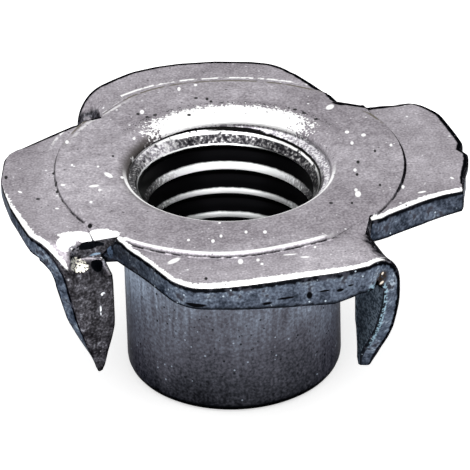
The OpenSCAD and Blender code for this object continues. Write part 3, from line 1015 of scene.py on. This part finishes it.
def rolled_steel_face():
    """Mild steel strip as it was rolled: a matt mauve-grey skin with fine grain, dented and pitted,
    with painted highlights along its edges and painted shade wherever it turns steeply down.

    The real grain is a few hundredths of a millimetre, too fine to show, so it is drawn 0.13 wide.
    """
    material, tree, shader, place, normal = finish("rolled_steel_face")
    x, y, z = add(tree, "ShaderNodeSeparateXYZ", Vector=place).outputs
    east, north, upward = add(tree, "ShaderNodeSeparateXYZ", Vector=normal).outputs
    radius = from_axis(tree, place)
    cloud, mottle, grain, ragged = (
        add(tree, "ShaderNodeTexNoise", Vector=place, Scale=1 / size, Detail=detail)
        for size, detail in ((4.5, 2), (0.7, 2), (0.13, 1), (0.4, 3))
    )
    step, rim, rub = (
        add(tree, "ShaderNodeAttribute", {"attribute_name": name}).outputs["Fac"]
        for name in ("from_step", "from_rim", "rub")
    )
    bright_side = marks(tree, place, BRIGHT_SIDE)
    tone = weigh(tree, (cloud, 0.7), (mottle, 0.5), (grain, 0.95))
    tone = total(tree, tone, (bright_side, 0.15))
    skin = add(tree, "ShaderNodeValToRGB", {"stops": ROLLED_SKIN}, Fac=tone)

    # the step around the coined face: painted highlights along its edges at the front and back, and
    # painted shade in its foot
    front = where(tree, (y, -6.4, -7.2), (x, 5.6, 4.2))
    back = where(tree, (y, 2.0, 5.0))
    dashes = where(tree, (ragged, 0.4, 0.55))
    olive = where(tree, *band(step, -0.22, -0.06, 0.05), back, (mottle, 0.4, 0.52))
    step_back_highlight = where(tree, *band(step, 0.5, 0.66, 0.04), back, dashes, (x, 5.6, 5.0))
    crest_shine = where(tree, *band(step, -0.48, -0.3, 0.05), back, (x, -5.0, -6.0), dashes)
    painted_step_highlight = where(tree, *band(step, -0.26, -0.08, 0.04), front)
    crevice_shade = where(tree, *band(step, 0.0, 0.07, 0.03), (ragged, 0.3, 0.55))

    # the lobes' edges: a painted highlight along the top edge, or painted shade along it at the
    # back and right
    highlight_jitter = weigh(tree, (ragged, 0.3), (grain, 0.25))
    within = total(tree, -0.5, (rub, 1.0), (highlight_jitter, 1.0), (rim, -1.0))
    painted_edge_highlight = where(tree, (within, -0.03, 0.03), (rub, 0.02, 0.1))
    beyond = weigh(tree, (total(tree, rim, (rub, 1.0)), 1.0), (ragged, 0.14))
    painted_edge_shade = where(tree, (beyond, 0.04, -0.04), (rub, -0.02, -0.08))
    painted_edge_shade = either(tree, painted_edge_shade, marks(tree, place, on_top(BEND_SHADE)))

    # the lip around the hole: painted highlights along its front edge and over its back, and
    # painted shade at the left
    lip_line = where(tree, *band(radius, 5.5, 5.68, 0.04), (y, 0.5, -1.5), (z, 11.6, 11.7))
    behind = add(tree, "ShaderNodeMath", {"operation": "DIVIDE"}, i0=y, i1=radius)
    covered = where(tree, (behind, 0.4, 1.0), (radius, 7.3, 6.0), (radius, 5.3, 5.37))
    painted_lip_highlight = weigh(tree, (covered, 1.0), (grain, 1.3), (ragged, 0.8))
    painted_lip_highlight = where(tree, (painted_lip_highlight, 0.42, 0.56), (covered, 0.02, 0.15))
    freckles = where(tree, *band(radius, 6.75, 7.15, 0.15), (behind, 0.4, 0.7), (grain, 0.55, 0.62))
    painted_lip_shade = where(tree, (x, -2.6, -4.8), (radius, 6.15, 5.3))

    # what turns down: painted shade, and more of it where it faces away to the back and right
    away = where(tree, (total(tree, north, (east, 0.5)), 0.02, 0.22))
    steep = total(tree, weigh(tree, (ragged, 0.25), (upward, 1.0)), (away, -0.38))
    painted_turn_shade = where(tree, (steep, 0.58, 0.42), (radius, 7.5, 8.0))
    painted_turn_shade = either(tree, painted_turn_shade, marks(tree, place, LEG_TOP))
    depth = where(tree, (z, 4.5, 8.5))
    turn_shade_colour = weigh(tree, (mottle, 1.0), (grain, 1.15), (ragged, 0.5), (depth, 0.1))
    turn_shade_colour = add(tree, "ShaderNodeValToRGB", {"stops": TURNED_DOWN_SHADE}, Fac=turn_shade_colour)
    turn_shade_colour = coats(tree, turn_shade_colour, (specks(tree, place, 0.5, 0.05, 0.2), "#A9AAB0"))

    # the notch and pocket beside the left slit: painted highlights and painted shade
    coarse = where(tree, (grain, 0.4, 0.5))
    notch_highlight = weigh(tree, (marks(tree, place, NOTCH_HIGHLIGHT), 1.0), (grain, 1.2))
    notch_highlight = where(tree, (notch_highlight, 0.4, 0.5), (upward, 0.3, 0.6))
    pocket_shade = weigh(tree, (marks(tree, place, POCKET_SHADE), 1.0), (ragged, 2.0))
    pocket_shade = where(tree, (pocket_shade, 0.6, 0.7))
    ledge = weigh(tree, (marks(tree, place, LEDGE_HIGHLIGHT), 1.0), (ragged, 1.6))
    ledge = where(tree, (ledge, 0.6, 0.7), coarse)

    skin = coats(
        tree, skin, (olive, "#676156"), (step_back_highlight, "#FFFFFF"), (crest_shine, "#DEDCDE"),
        (painted_step_highlight, "#FFFFFF"), (crevice_shade, "#1E1D20"),
        (painted_edge_highlight, "#FFFFFF"), (painted_edge_shade, "#14161A"),
        (freckles, "#3C383E"), (painted_lip_shade, "#3F3A36"), (lip_line, "#FFFFFF"), (painted_lip_highlight, "#FFFFFF"),
        (specks(tree, place, 0.75, 0.07, 0.22), "#EDEDEF"),
        (specks(tree, place, 0.62, 0.06, 0.16), "#5A565A"),
        (specks(tree, place, 0.37, 0.045, 0.2), "#DAD8DC"),
        (specks(tree, place, 0.33, 0.045, 0.2), "#686469"),
        (marks(tree, place, as_shown(DENTS)), "#FFFFFF"),
        (marks(tree, place, as_shown(PITS)), "#121214"),
        (notch_highlight, "#FFFFFF"), (painted_turn_shade, turn_shade_colour),
    )
    skin = coats(
        tree, skin, (where(tree, marks(tree, place, POCKET_GREY), coarse), "#85838A"),
        (pocket_shade, "#0D0F13"), (ledge, "#F4F1E4"), (marks(tree, place, LEDGE_GLINT), "#8FA6BC"),
        (where(tree, marks(tree, place, LEG_NICKS), (ragged, 0.35, 0.5)), "#E6EAF0"),
    )
    # metal goes white towards its outline unless its tint there is dark, so it is darkened where
    # the painted shade lies
    tint = coats(tree, "#FFFFFF", (either(tree, painted_turn_shade, painted_edge_shade), "#505050"))
    rough = add(tree, "ShaderNodeMapRange", Value=mottle, To_Min=0.34, To_Max=0.52)
    bump = add(
        tree, "ShaderNodeBump", Strength=0.6, Distance=0.03 * MM,
        Height=weigh(tree, (grain, 0.35), (ragged, 1.0)),
    )
    wire(tree, shader, Base_Color=skin, Roughness=rough, Specular_Tint=tint, Normal=bump)
    return material


def sheared_steel_edge():
    """The strip's sheared edge: dark blue-grey, partly its own tone and partly painted shade, torn
    in fine speckled patches, with painted shade in black bands along both of its borders.

    The real tearing is finer than the 0.14 mm that it is drawn at, so that it shows.
    """
    material, tree, shader, place, _ = finish("sheared_steel_edge")
    x, y, _ = add(tree, "ShaderNodeSeparateXYZ", Vector=place).outputs
    mottle, grain, ragged = (
        add(tree, "ShaderNodeTexNoise", Vector=place, Scale=1 / size, Detail=detail)
        for size, detail in ((1.1, 3), (0.14, 2), (0.35, 3))
    )
    down = add(tree, "ShaderNodeAttribute", {"attribute_name": "down"}).outputs["Fac"]
    jagged = weigh(tree, (down, 1.0), (ragged, 0.22))
    # the edge's tone is lighter on its front and left faces, and a little on its right ones
    front_and_left = either(tree, where(tree, (y, -5.5, -8.5)), where(tree, (x, -6.0, -8.0)))
    tone = weigh(tree, (mottle, 1.3), (grain, 0.9), (ragged, 0.5), (front_and_left, 0.22))
    tone = total(tree, tone, (where(tree, (x, 6.0, 9.0)), 0.14))
    steel = add(tree, "ShaderNodeValToRGB", {"stops": SHEARED_STEEL}, Fac=tone)
    inner_lip = where(
        tree, *band(down, 0.8, 1.05, 0.04), (x, 6.9, 7.3), (y, -6.6, -7.0), (grain, 0.44, 0.58),
    )
    coarse = where(tree, (grain, 0.35, 0.5))
    # painted shade: black bands along the edge's top and bottom borders
    steel = coats(
        tree, steel, (where(tree, (jagged, 0.17, 0.08)), "#0B0D11"),
        (where(tree, (jagged, 0.86, 1.0)), "#15181D"),
        (where(tree, (mottle, 0.5, 0.6), (ragged, 0.42, 0.6)), "#36373F"), (inner_lip, "#8AA4B2"),
        # painted highlight on the slit's end wall
        (where(tree, marks(tree, place, SLIT_END_HIGHLIGHT), coarse), "#7186A2"),
        (where(tree, marks(tree, place, SMEAR), coarse), "#39332F"),
        (marks(tree, place, BREAKS), "#08090B"), (marks(tree, place, SMEAR_NICKS), "#E2D8CB"),
        (specks(tree, place, 0.4, 0.05, 0.25), "#A8B4BF"),
    )
    bump = add(
        tree, "ShaderNodeBump", Strength=0.8, Distance=0.03 * MM,
        Height=weigh(tree, (grain, 0.6), (ragged, 1.0)),
    )
    wire(tree, shader, Base_Color=steel, Roughness=0.42, Specular_Tint="#A0A0A0", Normal=bump)
    return material


def drawn_steel_tube():
    """Deep-drawn steel: a dark blue-grey skin, partly its own tone and partly painted shade, with
    fine draw marks that run down the tube, small pits, and a black rim of painted shade where the
    drawn end rounds under. The painted shade deepens towards the tube's end, and its sides are
    painted lighter as a sheen.

    The draw marks are 0.22 mm wide and eleven times as long. Real ones are finer.
    """
    material, tree, shader, place, normal = finish("drawn_steel_tube")
    x, _, z = add(tree, "ShaderNodeSeparateXYZ", Vector=place).outputs
    upward = add(tree, "ShaderNodeSeparateXYZ", Vector=normal).outputs[2]
    radius = from_axis(tree, place)
    along = add(tree, "ShaderNodeVectorMath", {"operation": "MULTIPLY"}, i0=place, i1=(1, 1, 0.09))
    draws, patches, grain = (
        add(tree, "ShaderNodeTexNoise", Vector=vector, Scale=1 / size, Detail=detail)
        for vector, size, detail in ((along, 0.22, 3), (place, 2.6, 2), (place, 0.15, 2))
    )
    # painted shade: the tone darkens towards the tube's end
    height = add(tree, "ShaderNodeMapRange", Value=z, From_Min=0.0, From_Max=7.0)
    drawn = where(tree, (z, 3.0, 6.0))
    drawn = add(tree, "ShaderNodeMapRange", Value=drawn, To_Min=0.35, To_Max=1.1)
    streak = add(tree, "ShaderNodeMath", {"operation": "SUBTRACT"}, i0=draws, i1=0.5)
    streak = add(tree, "ShaderNodeMath", {"operation": "MULTIPLY"}, i0=streak, i1=drawn)
    aside = add(tree, "ShaderNodeMath", {"operation": "ABSOLUTE"}, i0=x)
    # painted sheen: the tube's tone is lighter towards its sides
    tone = total(
        tree, height, (where(tree, (aside, 3.6, 5.6)), 0.22), (streak, 1.0),
        (weigh(tree, (patches, 0.7), (grain, 1.15)), 1.0),
    )
    tone = add(tree, "ShaderNodeMath", {"operation": "MULTIPLY"}, i0=tone, i1=0.5)
    steel = add(tree, "ShaderNodeValToRGB", {"stops": DRAWN_STEEL}, Fac=tone)
    prong = where(tree, (radius, 8.0, 8.8))
    steel = coats(
        tree, steel, (specks(tree, place, 0.5, 0.07, 0.4), "#1A1B1F"),
        (specks(tree, place, 0.34, 0.045, 0.3), "#202227"),
        (specks(tree, place, 0.37, 0.05, 0.25), "#868F9C"),
        (prong, "#2E363F"), (where(tree, prong, (grain, 0.42, 0.6)), "#616C78"),
        # painted shade: black on what faces down and just over the tube's end
        (where(tree, (upward, -0.15, -0.5)), "#0E1013"), (where(tree, (z, 0.8, 0.2)), "#0A0B0D"),
    )
    rough = add(tree, "ShaderNodeMapRange", Value=draws, To_Min=0.36, To_Max=0.5)
    bump = add(
        tree, "ShaderNodeBump", Strength=0.5, Distance=0.02 * MM,
        Height=weigh(tree, (draws, 1.0), (grain, 0.5)),
    )
    wire(tree, shader, Base_Color=steel, Roughness=rough, Specular_Tint="#A0A0A0", Normal=bump)
    return material


def tapped_steel_thread():
    """Cut thread: crests painted white as a highlight, and grooves painted black as shadow.

    The tap's own chatter is finer than the 0.16 mm of the speckles.
    """
    material, tree, shader, place, _ = finish("tapped_steel_thread")
    x, y, z = add(tree, "ShaderNodeSeparateXYZ", Vector=place).outputs
    radius = from_axis(tree, place)
    grain, ragged = (
        add(tree, "ShaderNodeTexNoise", Vector=place, Scale=1 / size, Detail=detail)
        for size, detail in ((0.16, 2), (0.4, 3))
    )
    # The turn is 0 at the back of the hole and grows to the left. The helix's climb is taken off
    # the height, but less and less towards the front, where one turn meets the next.
    left = add(tree, "ShaderNodeMath", {"operation": "MULTIPLY"}, i0=x, i1=-1.0)
    turn = add(tree, "ShaderNodeMath", {"operation": "ARCTAN2"}, i0=left, i1=y)
    aside = add(tree, "ShaderNodeMath", {"operation": "ABSOLUTE"}, i0=turn)
    lead = where(tree, turn, (aside, 3.1, 1.9))
    climb = total(tree, z, (lead, -PITCH / (2 * math.pi)))
    height = total(tree, -LOBE_TOP, (weigh(tree, (climb, 1.0), (ragged, 0.06)), 1.0))

    speckled = weigh(tree, (grain, 2.0))
    speckled = add(tree, "ShaderNodeValToRGB", {"stops": SPECKLED_STEEL}, Fac=speckled)
    plain = weigh(tree, (grain, 1.6), (ragged, 0.6))
    plain = add(tree, "ShaderNodeValToRGB", {"stops": FUNNEL_STEEL}, Fac=plain)
    # the crests' painted highlight gives way to speckled steel towards the hole's sides
    highlight_gone_aside = where(tree, (weigh(tree, (aside, 1.0), (grain, 1.2)), 0.65, 1.2))
    crest_highlight = coats(tree, "#F6F8F8", (highlight_gone_aside, speckled))
    deeper = weigh(tree, (radius, 1.0), (ragged, 0.05))
    # deeper in the hole less of the crests gets the painted highlight, as painted shade
    deeper = total(tree, deeper, (where(tree, (z, 9.0, 8.4)), 0.06))
    crest = where(tree, (deeper, 4.645, 4.585))
    first = where(tree, (height, -1.12, -1.09))
    left_patch = where(tree, first, *band(turn, 0.65, 1.15, 0.2), (ragged, 0.3, 0.5))
    turned_in = weigh(tree, (turn, 1.0), (grain, 1.6))
    edge = where(tree, *band(height, -0.62, -0.5, 0.02), (ragged, 0.3, 0.4), (turned_in, 1.3, 0.9))
    # the black under all is painted shadow in the grooves; the crests, the line over the first
    # crest and the line just below the funnel's foot are painted highlights, and the band at its
    # foot a painted shadow
    steel = coats(
        tree, "#060607", (crest, crest_highlight), (first, speckled), (left_patch, plain),
        (where(tree, *band(height, -1.12, -1.05, 0.015)), "#F4F6F6"), (edge, "#FFFFFF"),
        (where(tree, *band(height, -0.5, -0.38, 0.02)), "#0A0A0A"),
        (where(tree, (height, -0.38, -0.36)), plain),
    )
    wire(tree, shader, Base_Color=steel, Roughness=0.3)
    return material


# --- the piece ----------------------------------------------------------------------------------

nut = make_tee_nut()
for make in (rolled_steel_face, sheared_steel_edge, drawn_steel_tube, tapped_steel_thread):
    nut.data.materials.append(make())
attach(nut, "root")
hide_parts("tee_nut")


# --- floor, light, camera -----------------------------------------------------------------------

def shown(tree):
    """1 for what the camera sees, straight or in the metal, and 0 for what lights the nut."""
    rays = add(tree, "ShaderNodeLightPath").outputs
    return either(
        tree, rays["Is Camera Ray"], rays["Is Glossy Ray"], rays["Is Transmission Ray"],
    )


def make_floor():
    """A round sheet of white paper that shows as pale as the world around it, but for shadows."""
    bm = bmesh.new()
    bmesh.ops.create_circle(bm, cap_ends=True, segments=64, radius=1.5)
    mesh = bpy.data.meshes.new("floor")
    bm.to_mesh(mesh)
    bm.free()
    floor = bpy.data.objects.new("floor", mesh)
    bpy.context.collection.objects.link(floor)
    paper = bpy.data.materials.new("white_paper")
    paper.use_nodes = True
    tree = paper.node_tree
    wire(
        tree, tree.nodes["Principled BSDF"], Base_Color="#E1E1E1", Roughness=0.9,
        Specular_IOR_Level=0.0, Emission_Color="#FFFFFF",
        Emission_Strength=add(
            tree, "ShaderNodeMath", {"operation": "MULTIPLY"}, i0=shown(tree), i1=0.6,
        ),
    )
    floor.data.materials.append(paper)


def softbox(name, place, aim, size, brightness):
    """An area lamp whose face shows at the given brightness, where 1 is white."""
    lamp = bpy.data.lights.new(name, "AREA")
    lamp.shape = "RECTANGLE"
    lamp.size, lamp.size_y = size
    lamp.energy = brightness * math.pi * size[0] * size[1]
    box = bpy.data.objects.new(name, lamp)
    box.location = place
    box.rotation_euler = (Vector(aim) - Vector(place)).to_track_quat("-Z", "Y").to_euler()
    bpy.context.collection.objects.link(box)


def make_world(level):
    """An even white studio, which lights the nut at the given level."""
    world = bpy.data.worlds.new("studio")
    bpy.context.scene.world = world
    world.use_nodes = True
    tree = world.node_tree
    strength = add(tree, "ShaderNodeMapRange", Value=shown(tree), To_Min=level, To_Max=1.0)
    wire(tree, tree.nodes["Background"], Color="#FFFFFF", Strength=strength)


def make_camera():
    """A long lens from the front and above."""
    cos, sin = math.cos(CAMERA_DOWN), math.sin(CAMERA_DOWN)
    right, up, forward = Vector((1, 0, 0)), Vector((0, sin, cos)), Vector((0, cos, -sin))
    place = -right * CAMERA_OFF[0] - up * CAMERA_OFF[1] - forward * CAMERA_AWAY
    place = place * CAMERA_UNIT + Vector((0, 0, LOBE_TOP * MM))
    side = math.cos(CAMERA_ROLL) * right + math.sin(CAMERA_ROLL) * up
    head = -math.sin(CAMERA_ROLL) * right + math.cos(CAMERA_ROLL) * up
    facing = Matrix((side, head, -forward)).transposed().to_4x4()
    camera = bpy.data.objects.new("camera", bpy.data.cameras.new("camera"))
    camera.data.sensor_width = SENSOR
    camera.data.lens = FOCAL_PX * SENSOR / FRAME_PX
    camera.data.clip_start, camera.data.clip_end = 0.01, 10
    camera.matrix_world = Matrix.Translation(place) @ facing
    bpy.context.collection.objects.link(camera)
    bpy.context.scene.camera = camera


make_floor()
make_world(0.55)
softbox("front_top", (0, -0.13, 0.34), (0, 0, 0.01), (0.5, 0.5), 2.4)
make_camera()
bpy.context.scene.view_settings.view_transform = "Standard"
